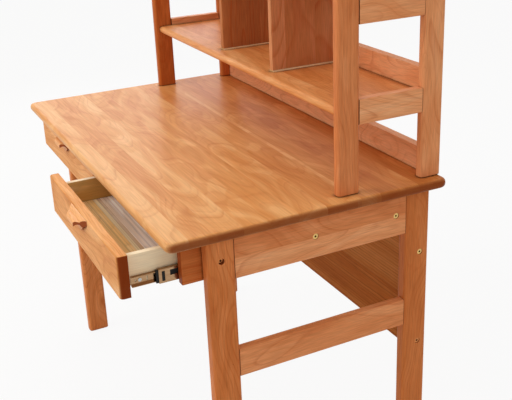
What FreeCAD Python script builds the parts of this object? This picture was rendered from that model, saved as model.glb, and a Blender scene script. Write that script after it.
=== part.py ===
import FreeCAD, Part

import os
import re
from collections import defaultdict

import Sketcher

# Driving sizes in millimetres; names that end in share or shares are fractions
values = {
    # desktop
    "top_width": 1040,
    "top_depth": 600,
    "top_height": 715,
    "top_thick": 20,
    "top_round_share": 0.45,
    "top_corner": 16,
    # side frames: legs, aprons and stretchers
    "leg_wide": 56,
    "leg_thick": 30,
    "leg_round": 8,
    "leg_side_inset": 16,
    "leg_back_inset": 32,
    "leg_front_inset": 79,
    "rail_set_back": 4,
    "apron_high": 88,
    "stretcher_thick": 18,
    "stretcher_high": 60,
    "stretcher_rise": 396,
    "edge_ease": 2,
    # modesty panel
    "panel_thick": 18,
    "panel_high": 258,
    "panel_gap": 23,
    "panel_set_in": 13,
    # drawer case
    "case_thick": 18,
    "case_set_back": 40,
    "case_back_thick": 15,
    "case_rail_thick": 14,
    "case_rail_wide": 50,
    "case_rail_lead": 10,
    # drawers
    "drawer_open": 97,
    "front_thick": 20,
    "front_gap": 2,
    "front_round": 8,
    "box_thick": 12,
    "box_rise": 10,
    "box_roof_gap": 4,
    "box_back_gap": 47,
    "box_ease": 1.5,
    "bottom_thick": 5,
    "bottom_rise": 5,
    "groove_deep": 5,
    # drawer pulls
    "pull_long": 106,
    "pull_lip_long": 44,
    "pull_reach": 20,
    "pull_high": 30,
    "pull_drop": 1,
    "pull_corner_wide": 35,
    "pull_corner_high": 21,
    "pull_screw_space": 40,
    "neck_share": 0.5,
    "lip_drop_share": 0.2,
    "tip_round_share": 0.3,
    "tip_low_share": 0.567,
    "tip_flat_share": 0.04,
    "waist_share": 0.525,
    "waist_low_share": 0.367,
    "foot_share": 0.25,
    "hollow_share": 1,
    "pull_screw_share": 0.467,
    # drawer slides, measured from the face that carries the outer channel
    "slide_gap": 12.7,
    "slide_rise": 18,
    "slide_trim": 10,
    "sheet_thick": 1.2,
    "race_gap": 0.35,
    "outer_lead": 2,
    "outer_deep": 8.5,
    "middle_lead": 12,
    "middle_trim": 10,
    "middle_deep": 7.6,
    "middle_high": 28,
    "inner_lead": 10,
    "inner_high": 20,
    "cage_thick": 1.4,
    "cage_lead": 5,
    "cage_plate_long": 46,
    "cage_strip_long": 120,
    "catch_lead": 6,
    "catch_long": 6,
    "catch_high": 20,
    "lever_lead": 22,
    "lever_long": 18,
    "lever_high": 11,
    "lever_lift": 4,
    "slot_lead": 30,
    "slot_wide": 2.5,
    "slot_high": 9,
    "hole_lead": 9,
    "hole_radius": 2.2,
    "screw_lead": 17,
    # hutch
    "hutch_side_inset": 28,
    "hutch_depth": 239,
    "hutch_high": 435,
    "post_wide": 48,
    "post_thick": 21,
    "post_round": 7,
    "post_set_back": 2,
    "lower_rail_rise": 137,
    "lower_rail_high": 49,
    "post_top_gap": 5,
    "upper_rail_high": 104,
    "shelf_thick": 18,
    "shelf_round_share": 0.47,
    "shelf_set_back": 11,
    "lower_shelf_seat": 14,
    "upper_shelf_seat": 53,
    "back_rail_thick": 20,
    "back_rail_inset": 3,
    "base_rail_high": 50,
    "lower_stop_high": 46,
    "upper_stop_high": 33,
    "divider_thick": 14,
    "divider_set_back": 39,
    "divider_left_place": -110,
    "divider_right_place": 149,
    "strip_high": 3,
    "strip_proud": 1,
    # fasteners
    "fit_gap": 0.1,
    "bolt_radius": 3,
    "bolt_head_radius": 6,
    "bolt_head_high": 3,
    "bolt_recess": 1,
    "socket_radius": 2.4,
    "socket_deep": 2.8,
    "bolt_back_lead": 23,
    "panel_bolt_margin": 24,
    "nut_radius": 5,
    "nut_long": 13,
    "barrel_long": 14,
    "barrel_margin": 30,
    "barrel_tail": 7,
    "dowel_radius": 4,
    "dowel_long": 30,
    "pin_radius": 3,
    "pin_long": 24,
    "apron_pin_lead": 8.75,
    "apron_pin_margin": 94.25,
    "screw_radius": 1.6,
    "screw_head_radius": 3.5,
    "screw_head_high": 0.9,
    "top_screw_head_radius": 4,
    "top_screw_head_high": 3,
    "top_screw_radius": 2,
    "pull_screw_head_high": 2.2,
    "overrun": 5,
    # fractions of the piece that carries the fastener
    "apron_dowel_share": 0.25,
    "stretcher_dowel_share": 0.23,
    "rail_pin_share": 0.28,
    "shelf_pin_share": 0.2,
    "screw_end_share": 0.1,
    "bolt_middle_share": 0.549,
    "case_bite_share": 0.44,
    "box_bite_share": 0.5,
    "top_bite_share": 0.7,
    "pull_bite_share": 0.3,
}
match_tolerance = 1e-6
sides = {-1: "left", 1: "right"}

doc = FreeCAD.newDocument("student_desk")
sheet = doc.addObject("Spreadsheet::Sheet", "sizes")
for row, (word, number) in enumerate(values.items(), start=1):
    sheet.set(f"A{row}", word)
    sheet.set(f"B{row}", str(number))
    sheet.setAlias(f"B{row}", word)
doc.recompute()

nodes = {}
holes = defaultdict(list)
groups = defaultdict(list)


# Formulas name the cells of the sheet, so every size and place follows it
def bind(item, formulas):
    for path, text in formulas.items():
        item.setExpression(path, re.sub(r"[a-z_]{3,}", lambda found: cell(found.group()), text))
    return item


def cell(word):
    return f"sizes.{word}" if word in values else word


def amount(text):
    return float(sheet.evalExpression(text))


def place(item, x, y, z):
    return bind(item, {"Placement.Base.x": x, "Placement.Base.y": y, "Placement.Base.z": z})


# Levels and lines that several pieces share
under_top = "(top_height - top_thick)"
leg_outer = "(top_width / 2 - leg_side_inset)"
leg_inner = f"({leg_outer} - leg_thick)"
rail_outer = f"({leg_outer} - rail_set_back)"
apron_floor = f"({under_top} - apron_high)"
case_outer = leg_inner
case_inner = f"({case_outer} - case_thick)"
case_front = "(top_depth - case_set_back)"
case_back = "(leg_back_inset + leg_wide)"
case_roof = f"({under_top} - case_rail_thick)"
bay_near = "(case_thick / 2)"
box_near = f"({bay_near} + slide_gap)"
box_far = f"({case_inner} - slide_gap)"
box_floor = f"({apron_floor} + box_rise)"
box_high = f"({case_roof} - box_roof_gap - {box_floor})"
box_depth = f"({case_front} - {case_back} - case_back_thick - box_back_gap)"
slide_long = f"({box_depth} - slide_trim)"
middle_long = f"({slide_long} - middle_trim)"
middle_near = "(sheet_thick + screw_head_high + race_gap)"
middle_far = f"({middle_near} + middle_deep)"
inner_near = f"({middle_near} + sheet_thick + cage_thick + race_gap)"
slide_level = f"({apron_floor} + slide_rise)"
panel_near = "(leg_back_inset + panel_set_in)"
panel_floor = f"({apron_floor} - panel_gap - panel_high)"
front_leg_far = "(top_depth - leg_front_inset)"
front_leg_near = f"({front_leg_far} - leg_wide)"
back_leg_far = "(leg_back_inset + leg_wide)"
post_outer = "(top_width / 2 - hutch_side_inset)"
post_inner = f"({post_outer} - post_thick)"
back_rail_far = "(back_rail_inset + back_rail_thick)"
shelf_far = "(hutch_depth - shelf_set_back)"
rail_floors = {
    "lower": "(top_height + lower_rail_rise)",
    "upper": "(top_height + hutch_high - post_top_gap - upper_rail_high)",
}
shelf_floors = {level: f"({floor} + {level}_shelf_seat)" for level, floor in rail_floors.items()}
shelf_tops = {level: f"({floor} + shelf_thick)" for level, floor in shelf_floors.items()}
# Depths count forward from the back edge; the origin is under the middle with the right drawer open
back_line = f"(({case_front} + drawer_open + front_thick + pull_reach) / 2)"


def ahead(depth):
    return f"{back_line} - ({depth})"


def deep(near, far):
    return ahead(far), f"{far} - {near}"


def beside(side, near, far):
    return (near if side > 0 else f"-({far})"), f"{far} - ({near})"


def across(half):
    return f"-{half}", f"2 * {half}"


def fresh(kind, name):
    return doc.addObject(kind, name)


def keep(label, item):
    item.Label = label
    nodes[label] = item
    return item


def block(name, x, y, z):
    item = bind(fresh("Part::Box", name), {"Length": x[1], "Width": y[1], "Height": z[1]})
    return place(item, x[0], y[0], z[0])


turns = {
    "x": FreeCAD.Rotation(FreeCAD.Vector(0, 1, 0), 90),
    "y": FreeCAD.Rotation(FreeCAD.Vector(1, 0, 0), -90),
    "z": FreeCAD.Rotation(),
}


def rod(name, axis, start, radius, length):
    item = fresh("Part::Cylinder", name)
    item.Placement = FreeCAD.Placement(FreeCAD.Vector(), turns[axis])
    bind(item, {"Radius": radius, "Height": length})
    return place(item, *start)


def cut(name, base, tools):
    tool = tools[0]
    if len(tools) > 1:
        tool = fresh("Part::MultiFuse", f"{name}_tools")
        tool.Shapes = tools
    item = fresh("Part::Cut", name)
    item.Base = base
    item.Tool = tool
    return item


def join(name, pieces):
    item = fresh("Part::MultiFuse", name)
    item.Shapes = pieces
    return item


# An outline's points are (x, y, turn radius of the next stretch or None); a plus radius turns left
def outline(body, role, points):
    plane = next(item for item in body.Origin.OriginFeatures if item.Role == role)
    sketch = body.newObject("Sketcher::SketchObject", "outline")
    sketch.AttachmentSupport = (plane, [""])
    sketch.MapMode = "FlatFace"
    spots = [FreeCAD.Vector(amount(x), amount(y), 0) for x, y, radius in points]
    ends = []
    for index, (x, y, radius) in enumerate(points):
        first, second = spots[index], spots[(index + 1) % len(spots)]
        if radius is None:
            ends.append((sketch.addGeometry(Part.LineSegment(first, second), False), 1, 2))
        else:
            ends.append(add_arc(sketch, first, second, radius))
    for index, (x, y, radius) in enumerate(points):
        geometry, start, finish = ends[index]
        following = ends[(index + 1) % len(ends)]
        sketch.addConstraint(Sketcher.Constraint("Coincident", geometry, finish, following[0], following[1]))
        for kind, text, number in (("DistanceX", x, spots[index].x), ("DistanceY", y, spots[index].y)):
            fixed = Sketcher.Constraint(kind, -1, 1, geometry, start, number)
            bind(sketch, {f"Constraints[{sketch.addConstraint(fixed)}]": text})
        if radius is not None:
            size = abs(amount(radius))
            fixed = sketch.addConstraint(Sketcher.Constraint("Radius", geometry, size))
            bind(sketch, {f"Constraints[{fixed}]": f"abs({radius})"})
    return sketch


def add_arc(sketch, first, second, radius):
    size = amount(radius)
    chord = second - first
    rise = (size ** 2 - (chord.Length / 2) ** 2) ** 0.5
    left = FreeCAD.Vector(-chord.y, chord.x, 0).normalize()
    centre = (first + second) / 2 + left * (rise if size > 0 else -rise)
    circle = Part.Circle(centre, FreeCAD.Vector(0, 0, 1), abs(size))
    start, finish = (first, second) if size > 0 else (second, first)
    arc = Part.ArcOfCircle(circle, circle.parameter(start), circle.parameter(finish))
    return (sketch.addGeometry(arc, False), 1, 2) if size > 0 else (sketch.addGeometry(arc, False), 2, 1)


def rectangle(body, role, wide, high):
    return outline(body, role, [("0", "0", None), (wide, "0", None), (wide, high, None), ("0", high, None)])


# Tests that pick the edges to round: straight along an axis, or lying in an end face
def along(axis, **faces):
    def test(edge, box):
        spread = edge.BoundBox
        lengths = {"x": spread.XLength, "y": spread.YLength, "z": spread.ZLength}
        straight = all(size < match_tolerance for name, size in lengths.items() if name != axis)
        return straight and all(touches(spread, box, name, end) for name, end in faces.items())
    return test


def rim(axis, end):
    def test(edge, box):
        spread = edge.BoundBox
        flat = {"x": spread.XLength, "y": spread.YLength, "z": spread.ZLength}[axis] < match_tolerance
        return flat and touches(spread, box, axis, end)
    return test


def both_rims(edge, box):
    return rim("z", "Min")(edge, box) or rim("z", "Max")(edge, box)


def front_rims(edge, box):
    spread = edge.BoundBox
    clear_of_back = spread.YMax < box.YMax - match_tolerance
    return both_rims(edge, box) and clear_of_back and spread.XLength > match_tolerance


def touches(spread, box, axis, end):
    name = axis.upper() + end
    return abs(getattr(spread, name) - getattr(box, name)) < match_tolerance


def rounded(body, radius, test):
    doc.recompute()
    base = body.Tip
    box = base.Shape.BoundBox
    names = [f"Edge{count}" for count, edge in enumerate(base.Shape.Edges, start=1) if test(edge, box)]
    fillet = body.newObject("PartDesign::Fillet", "rounding")
    fillet.Base = (base, names)
    bind(fillet, {"Radius": radius})
    return fillet


# A sawn board with its edges rounded in the order given
def board(label, x, y, z, *roundings):
    body = fresh("PartDesign::Body", label)
    pad = body.newObject("PartDesign::Pad", "thickness")
    pad.Profile = rectangle(body, "XY_Plane", x[1], y[1])
    body.Tip = pad
    bind(pad, {"Length": z[1]})
    place(body, x[0], y[0], z[0])
    for radius, test in roundings:
        rounded(body, radius, test)
    return keep(label, body)


# A wooden peg, centred on the joint, and its hole in each piece that it enters
def peg(axis, middle, radius, length, hosts):
    start = dict(zip("xyz", middle))
    start[axis] = f"{start[axis]} - {length} / 2"
    groups["dowels"].append(rod("peg", axis, start.values(), radius, length))
    start[axis] = f"{start[axis]} - fit_gap"
    hole = rod("peg_hole", axis, start.values(), f"{radius} + fit_gap", f"{length} + 2 * fit_gap")
    for host in hosts:
        holes[host].append(hole)


def dowel(axis, middle, *hosts):
    peg(axis, middle, "dowel_radius", "dowel_long", hosts)


def pin(axis, middle, *hosts):
    peg(axis, middle, "pin_radius", "pin_long", hosts)


def add_desktop():
    body = board(
        "desktop", across("top_width / 2"), deep("0", "top_depth"), (under_top, "top_thick"),
        ("top_corner", along("z")), ("top_thick * top_round_share", both_rims))
    return body


def add_side_frame(side):
    word = sides[side]
    leg_x = beside(side, leg_inner, leg_outer)
    apron_x = beside(side, leg_inner, rail_outer)
    stretcher_x = beside(side, f"{rail_outer} - stretcher_thick", rail_outer)
    leg_rounds = ("leg_round", along("z")), ("edge_ease", rim("z", "Min"))
    between = deep(back_leg_far, front_leg_near)
    board(f"leg_front_{word}", leg_x, deep(front_leg_near, front_leg_far), ("0", under_top), *leg_rounds)
    board(f"leg_back_{word}", leg_x, deep("leg_back_inset", back_leg_far), ("0", under_top), *leg_rounds)
    ease = "edge_ease", along("y")
    board(f"apron_{word}", apron_x, between, (apron_floor, "apron_high"), ease)
    board(f"stretcher_{word}", stretcher_x, between, ("stretcher_rise", "stretcher_high"), ease)
    for leg, depth in (("front", front_leg_near), ("back", back_leg_far)):
        for way in ("-", "+"):
            apron_z = f"{apron_floor} + apron_high * (1 / 2 {way} apron_dowel_share)"
            apron_middle = (f"{apron_x[0]} + ({apron_x[1]}) / 2", ahead(depth), apron_z)
            dowel("y", apron_middle, f"leg_{leg}_{word}", f"apron_{word}")
            stretcher_z = f"stretcher_rise + stretcher_high * (1 / 2 {way} stretcher_dowel_share)"
            stretcher_middle = (f"{stretcher_x[0]} + ({stretcher_x[1]}) / 2", ahead(depth), stretcher_z)
            dowel("y", stretcher_middle, f"leg_{leg}_{word}", f"stretcher_{word}")
    # the pins up into the desktop keep clear of the posts' dowels
    for depth in ("hutch_depth - post_wide - apron_pin_lead", f"{front_leg_near} - apron_pin_margin"):
        pin("z", (apron_middle[0], ahead(depth), under_top), f"apron_{word}", "desktop")


def add_modesty_panel():
    board(
        "modesty_panel", across(leg_inner), deep(panel_near, f"({panel_near} + panel_thick)"),
        (panel_floor, "panel_high"), ("edge_ease", along("x")))


def add_case():
    case_y = deep(case_back, case_front)
    case_z = apron_floor, "apron_high"
    back_far = f"({case_back} + case_back_thick)"
    for side, word in sides.items():
        board(
            f"case_side_{word}", beside(side, case_inner, case_outer), case_y, case_z,
            ("edge_ease", along("z", y="Min")))
    divider_z = apron_floor, f"{case_roof} - {apron_floor}"
    board("case_divider", across(bay_near), deep(back_far, case_front), divider_z)
    board("case_back", across(case_inner), deep(case_back, back_far), case_z)
    rail_z = case_roof, "case_rail_thick"
    front_far = f"({case_front} - case_rail_lead)"
    rails = {
        "case_rail_front": (f"({front_far} - case_rail_wide)", front_far),
        "case_rail_back": (back_far, f"({back_far} + case_rail_wide)"),
    }
    for label, (near, far) in rails.items():
        board(label, across(case_inner), deep(near, far), rail_z)
        middle_y = ahead(f"({near} + {far}) / 2")
        for side, word in sides.items():
            at_side = f"{side} * {case_inner}"
            pin("x", (at_side, middle_y, f"{case_roof} + case_rail_thick / 2"), label, f"case_side_{word}")
            for place_share in ("screw_end_share", "1 - 2 * screw_end_share"):
                add_top_screw(label, f"{at_side} * ({place_share})", middle_y)
    for way in ("-", "+"):
        level = f"{apron_floor} + apron_high * (1 / 2 {way} apron_dowel_share)"
        for side, word in sides.items():
            depth = f"{case_back} + case_back_thick / 2"
            pin("x", (f"{side} * {case_inner}", ahead(depth), level), "case_back", f"case_side_{word}")
        pin("y", ("0", ahead(back_far), level), "case_back", "case_divider")


def add_top_screw(rail, x, y):
    start = x, y, case_roof
    above = x, y, f"{case_roof} + top_screw_head_high"
    long = "(case_rail_thick - top_screw_head_high + top_thick * top_bite_share)"
    head = rod("screw_head", "z", start, "top_screw_head_radius", "top_screw_head_high")
    shank = rod("screw_shank", "z", above, "top_screw_radius", long)
    groups["top_screws"].append(join("top_screw", [head, shank]))
    sink = "top_screw_head_high + fit_gap"
    holes[rail].append(rod("screw_sink", "z", start, "top_screw_head_radius + fit_gap", sink))
    bore = rod("screw_bore", "z", above, "top_screw_radius + fit_gap", f"{long} + fit_gap")
    holes[rail].append(bore)
    holes["desktop"].append(bore)


# A socket bolt along x: its head sits in a sink, its shank runs inwards from the seat to the tip
def bolt(side, y, z, seat, tip, hosts):
    crown = f"({seat} + bolt_head_high)"
    start, length = beside(side, seat, crown)
    head = rod("bolt_head", "x", (start, y, z), "bolt_head_radius", length)
    socket = fresh("Part::Prism", "bolt_socket")
    socket.Polygon = 6
    socket.Placement = FreeCAD.Placement(FreeCAD.Vector(), turns["x"])
    socket_x = beside(side, f"{crown} - socket_deep", f"({crown} + overrun)")
    bind(socket, {"Circumradius": "socket_radius", "Height": socket_x[1]})
    place(socket, socket_x[0], y, z)
    shank_x = beside(side, tip, seat)
    shank = rod("bolt_shank", "x", (shank_x[0], y, z), "bolt_radius", shank_x[1])
    groups["bolts"].append(join("bolt", [cut("socket_head", head, [socket]), shank]))
    sink_x = beside(side, f"{seat}", f"({leg_outer} + overrun)")
    sink = rod("bolt_sink", "x", (sink_x[0], y, z), "bolt_head_radius + 2 * fit_gap", sink_x[1])
    bore_x = beside(side, f"{tip} - fit_gap", f"({seat} + fit_gap)")
    bore = rod("bolt_bore", "x", (bore_x[0], y, z), "bolt_radius + fit_gap", bore_x[1])
    for host in hosts:
        holes[host].extend([sink, bore])
    return bore


def add_bolts():
    case_seat = f"({rail_outer} - bolt_recess - bolt_head_high)"
    case_tip = f"({case_outer} - nut_long)"
    level = f"{apron_floor} + apron_high / 2"
    leg_seat = f"({leg_outer} - bolt_recess - bolt_head_high)"
    barrel_x = f"({leg_inner} - barrel_margin)"
    for side, word in sides.items():
        spots = [
            (f"leg_front_{word}", f"({front_leg_near} + {front_leg_far}) / 2"),
            (f"apron_{word}", f"{back_leg_far} + ({front_leg_near} - {back_leg_far}) * bolt_middle_share"),
            (f"apron_{word}", f"{back_leg_far} + bolt_back_lead"),
        ]
        for host, depth in spots:
            bolt(side, ahead(depth), level, case_seat, case_tip, [host])
            start, length = beside(side, case_tip, case_outer)
            sleeve = rod("nut_sleeve", "x", (start, ahead(depth), level), "nut_radius", length)
            thread = rod("nut_thread", "x", (start, ahead(depth), level), "bolt_radius + fit_gap", length)
            groups["insert_nuts"].append(cut("insert_nut", sleeve, [thread]))
            seat_x = beside(side, f"{case_tip} - fit_gap", f"({case_outer} + overrun)")
            seat = rod("nut_seat", "x", (seat_x[0], ahead(depth), level), "nut_radius + fit_gap", seat_x[1])
            holes[f"case_side_{word}"].append(seat)
        depth = f"{panel_near} + panel_thick / 2"
        for way in ("-", "+"):
            level_z = f"{panel_floor} + panel_high / 2 {way} (panel_high / 2 - panel_bolt_margin)"
            tip = f"({barrel_x} - barrel_tail)"
            bore = bolt(side, ahead(depth), level_z, leg_seat, tip, [f"leg_back_{word}"])
            holes["modesty_panel"].append(bore)
            barrel_y = f"{ahead(panel_near)} - barrel_long"
            centre = f"{side} * {barrel_x}"
            barrel = rod("barrel", "y", (centre, barrel_y, level_z), "nut_radius", "barrel_long")
            groups["barrel_nuts"].append(cut("barrel_nut", barrel, [bore]))
            hole = rod(
                "barrel_hole", "y", (centre, f"{barrel_y} - fit_gap", level_z),
                "nut_radius + fit_gap", "barrel_long + overrun")
            holes["modesty_panel"].append(hole)


def add_drawer(side, slip):
    word = sides[side]
    name = f"{word}_drawer"
    face = f"({case_front} + {slip})"
    rear = f"({face} - {box_depth})"
    front_x = beside(side, "front_gap", case_outer)
    front_z = f"{apron_floor} + front_gap", "apron_high - 2 * front_gap"
    board(
        f"{name}_front", front_x, deep(face, f"({face} + front_thick)"), front_z,
        ("front_round", along("z", y="Min")), ("edge_ease", front_rims))
    side_z = box_floor, box_high
    ease = "box_ease", along("y", z="Max")
    inner_far = f"({box_near} + box_thick)"
    outer_near = f"({box_far} - box_thick)"
    board(f"{name}_inner_side", beside(side, box_near, inner_far), deep(rear, face), side_z, ease)
    board(f"{name}_outer_side", beside(side, outer_near, box_far), deep(rear, face), side_z, ease)
    bottom_top = f"({box_floor} + bottom_rise + bottom_thick)"
    back_far = f"({rear} + box_thick)"
    back_z = bottom_top, f"{box_floor} + {box_high} - {bottom_top}"
    board(f"{name}_back", beside(side, inner_far, outer_near), deep(rear, back_far), back_z)
    tongue = "(groove_deep - fit_gap)"
    bottom_x = beside(side, f"({inner_far} - {tongue})", f"({outer_near} + {tongue})")
    bottom_z = f"{box_floor} + bottom_rise", "bottom_thick"
    bottom = block(f"{name}_bottom", bottom_x, deep(rear, f"({face} + {tongue})"), bottom_z)
    keep(f"{name}_bottom", bottom)
    groove_x = beside(side, f"({inner_far} - groove_deep)", f"({outer_near} + groove_deep)")
    groove_y = deep(f"({rear} - overrun)", f"({face} + groove_deep)")
    groove_z = f"{bottom_z[0]} - fit_gap", "bottom_thick + fit_gap"
    groove = block("bottom_groove", groove_x, groove_y, groove_z)
    for host in ("front", "inner_side", "outer_side"):
        holes[f"{name}_{host}"].append(groove)
    add_pull(side, name, face)
    add_slides(side, name, slip)


def add_pull(side, name, face):
    body = fresh("PartDesign::Body", f"{name}_pull")
    middle = f"{side} * (front_gap + {case_outer}) / 2"
    top = f"({under_top} - front_gap - pull_drop)"
    neck = "(pull_reach * neck_share)"
    lip_drop = "(pull_high * lip_drop_share)"
    tip_round = "(pull_reach * tip_round_share)"
    tip_low = "(pull_high * tip_low_share)"
    tip_inner = "(pull_reach * (1 - tip_flat_share))"
    waist = "(pull_reach * waist_share)"
    waist_low = "(pull_high * waist_low_share)"
    foot = "(pull_reach * foot_share)"
    cove = f"({neck} ^ 2 + {lip_drop} ^ 2) / (2 * {lip_drop})"
    under = f"-hollow_share * sqrt(({tip_inner} - {waist}) ^ 2 + ({tip_low} - {waist_low}) ^ 2)"
    grip = f"-hollow_share * sqrt(({waist} - {foot}) ^ 2 + (pull_high - {waist_low}) ^ 2)"
    section = outline(body, "YZ_Plane", [
        ("0", "0", cove),
        (f"-{neck}", f"-{lip_drop}", None),
        (f"{tip_round} - pull_reach", f"-{lip_drop}", tip_round),
        ("-pull_reach", f"-{lip_drop} - {tip_round}", None),
        ("-pull_reach", f"-{tip_low}", None),
        (f"-{tip_inner}", f"-{tip_low}", under),
        (f"-{waist}", f"-{waist_low}", grip),
        (f"-{foot}", "-pull_high", None),
        ("0", "-pull_high", None),
    ])
    pad = body.newObject("PartDesign::Pad", "length")
    pad.Profile = section
    pad.Midplane = True
    bind(pad, {"Length": "pull_long"})
    body.Tip = pad
    ends = {
        "XY_Plane": [
            ("pull_long / 2", "0", None),
            ("pull_lip_long / 2", "-pull_reach", None),
            ("pull_long / 2", "-pull_reach", None)],
        "XZ_Plane": [
            ("pull_long / 2", "pull_corner_high - pull_high", None),
            ("pull_long / 2 - pull_corner_wide", "-pull_high", None),
            ("pull_long / 2", "-pull_high", None)],
    }
    for role, points in ends.items():
        for way in ("", "-1 * "):
            turned = [(f"{way}({x})", y, radius) for x, y, radius in points]
            trim = body.newObject("PartDesign::Pocket", "end_trim")
            trim.Profile = outline(body, role, turned)
            trim.Midplane = True
            bind(trim, {"Length": "2 * (pull_high + pull_reach)"})
            body.Tip = trim
    place(body, middle, ahead(f"{face} + front_thick"), top)
    keep(f"{name}_pull", body)
    long = "(front_thick + pull_reach * pull_bite_share)"
    for way in ("-", "+"):
        x = f"{middle} {way} pull_screw_space / 2"
        z = f"{top} - pull_high * pull_screw_share"
        tip = f"{ahead(face)} - {long}"
        shank = rod("screw_shank", "y", (x, tip, z), "top_screw_radius", long)
        head = rod("screw_head", "y", (x, ahead(face), z), "top_screw_head_radius", "pull_screw_head_high")
        groups[f"{name}_screws"].append(join("pull_screw", [shank, head]))
        bore_start = x, f"{tip} - fit_gap", z
        bore = rod("screw_bore", "y", bore_start, "top_screw_radius + fit_gap", f"{long} + fit_gap")
        holes[f"{name}_front"].append(bore)
        holes[f"{name}_pull"].append(bore)


# A folded steel channel: near and far count from the carrying face, and the web is on one of them
def channel(name, span, near, far, high, web, y, windows):
    level = f"{slide_level} - {high} / 2"
    inside = f"{level} + sheet_thick", f"{high} - 2 * sheet_thick"
    hollow = (f"({near} + sheet_thick)", f"({far} + overrun)")
    if web == "far":
        hollow = (f"({near} - overrun)", f"({far} - sheet_thick)")
    skin = block(name, span(near, far), y, (level, high))
    return cut(name, skin, [block("hollow", span(*hollow), y, inside)] + windows)


def add_slides(side, name, slip):
    word = sides[side]

    def from_divider(near, far):
        return beside(side, f"({bay_near} + {near})", f"({bay_near} + {far})")

    def from_case_side(near, far):
        return beside(side, f"({case_inner} - {far})", f"({case_inner} - {near})")

    for carrier, span in (("case_divider", from_divider), (f"case_side_{word}", from_case_side)):
        add_outer_channel(word, name, carrier, span)
        add_middle_channel(word, f"({slip}) / 2", span)
        outer_side = carrier != "case_divider"
        add_inner_channel(side, name, slip, span, "outer_side" if outer_side else "inner_side")


def add_outer_channel(word, name, carrier, span):
    lead = f"({case_front} - outer_lead)"
    outer_y = deep(f"({lead} - {slide_long})", lead)
    high = "(middle_high + 2 * race_gap + 2 * sheet_thick)"
    bores = []
    for end_share in ("screw_end_share", "1 - screw_end_share"):
        y = ahead(f"{lead} - {slide_long} * ({end_share})")
        bite = "case_thick * case_bite_share"
        bores.append(add_screw("slide_screws", span, y, "0", "sheet_thick", bite, [carrier]))
    outer = channel(f"{name}_outer_channel", span, "0", "outer_deep", high, "near", outer_y, bores)
    groups[f"{word}_slide_outers"].append(outer)


# A flat-headed screw along x: its tip is sunk a length behind the face where the head sits
def add_screw(group, span, y, root, seat, length, hosts, way=1):
    crown = f"({seat} + {way} * screw_head_high)"
    tip = f"({root} - {way} * {length})"
    head_x = span(*((seat, crown) if way > 0 else (crown, seat)))
    shank_x = span(*((tip, seat) if way > 0 else (seat, tip)))
    head = rod("screw_head", "x", (head_x[0], y, slide_level), "screw_head_radius", head_x[1])
    shank = rod("screw_shank", "x", (shank_x[0], y, slide_level), "screw_radius", shank_x[1])
    groups[group].append(join("slide_screw", [head, shank]))
    deeper = f"({tip} - {way} * fit_gap)"
    above = f"({seat} + {way} * fit_gap)"
    bore_x = span(*((deeper, above) if way > 0 else (above, deeper)))
    bore = rod("screw_bore", "x", (bore_x[0], y, slide_level), "screw_radius + fit_gap", bore_x[1])
    for host in hosts:
        holes[host].append(bore)
    return bore


def add_middle_channel(word, slip, span):
    lead = f"({case_front} + {slip} - middle_lead)"
    middle_y = deep(f"({lead} - {middle_long})", lead)
    web = span(f"({middle_near} - overrun)", f"({middle_near} + sheet_thick)")
    catch_y = deep(f"({lead} - catch_lead - catch_long)", f"({lead} - catch_lead)")
    lever_y = deep(f"({lead} - lever_lead - lever_long)", f"({lead} - lever_lead)")
    catch = block("catch_window", web, catch_y, (f"{slide_level} - catch_high / 2", "catch_high"))
    lever_floor = f"{slide_level} + lever_lift - lever_high / 2"
    lever = block("lever_window", web, lever_y, (lever_floor, "lever_high"))
    middle = channel(
        f"{word}_middle", span, middle_near, middle_far, "middle_high", "near", middle_y, [catch, lever])
    groups[f"{word}_slide_middles"].append(middle)
    add_cage(word, lead, span)


# The ball cage: a plate behind the middle channel's web and a strip along each of its flanges
def add_cage(word, lead, span):
    front = f"({lead} + cage_lead)"
    plate_near = f"({middle_near} + sheet_thick)"
    plate_far = f"({plate_near} + cage_thick)"
    half = "(middle_high / 2 - sheet_thick - race_gap)"
    plate_y = deep(f"({front} - cage_plate_long)", front)
    plate_z = f"{slide_level} - {half}", f"2 * {half}"
    plate = block("cage_plate", span(plate_near, plate_far), plate_y, plate_z)
    strip_high = f"{half} - inner_high / 2 - race_gap"
    strip_x = span(plate_near, f"({middle_far} - race_gap)")
    strip_y = deep(f"({front} - cage_strip_long)", front)
    upper = block("cage_strip", strip_x, strip_y, (f"{slide_level} + inner_high / 2 + race_gap", strip_high))
    lower = block("cage_strip", strip_x, strip_y, (f"{slide_level} - {half}", strip_high))
    groups[f"{word}_slide_cages"].append(join(f"{word}_cage", [plate, upper, lower]))


def add_inner_channel(side, name, slip, span, host):
    lead = f"({case_front} + {slip} - inner_lead)"
    inner_y = deep(f"({lead} - {slide_long})", lead)
    web = span("(slide_gap - overrun)", "(slide_gap + overrun)")
    slot_y = deep(f"({lead} - slot_lead - slot_wide)", f"({lead} - slot_lead)")
    slot = block("rail_slot", web, slot_y, (f"{slide_level} - slot_high / 2", "slot_high"))
    hole = rod("rail_hole", "x", (web[0], ahead(f"{lead} - hole_lead"), slide_level), "hole_radius", web[1])
    bores = []
    for depth in (f"{lead} - screw_lead", f"{lead} - {slide_long} * (1 - screw_end_share)"):
        seat = "(slide_gap - sheet_thick)"
        bite = "box_thick * box_bite_share"
        bores.append(add_screw(
            f"{name}_screws", span, ahead(depth), "slide_gap", seat, bite, [f"{name}_{host}"], -1))
    openings = [slot, hole] + bores
    inner = channel(f"{name}_rail", span, inner_near, "slide_gap", "inner_high", "far", inner_y, openings)
    groups[f"{name}_rails"].append(inner)


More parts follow.
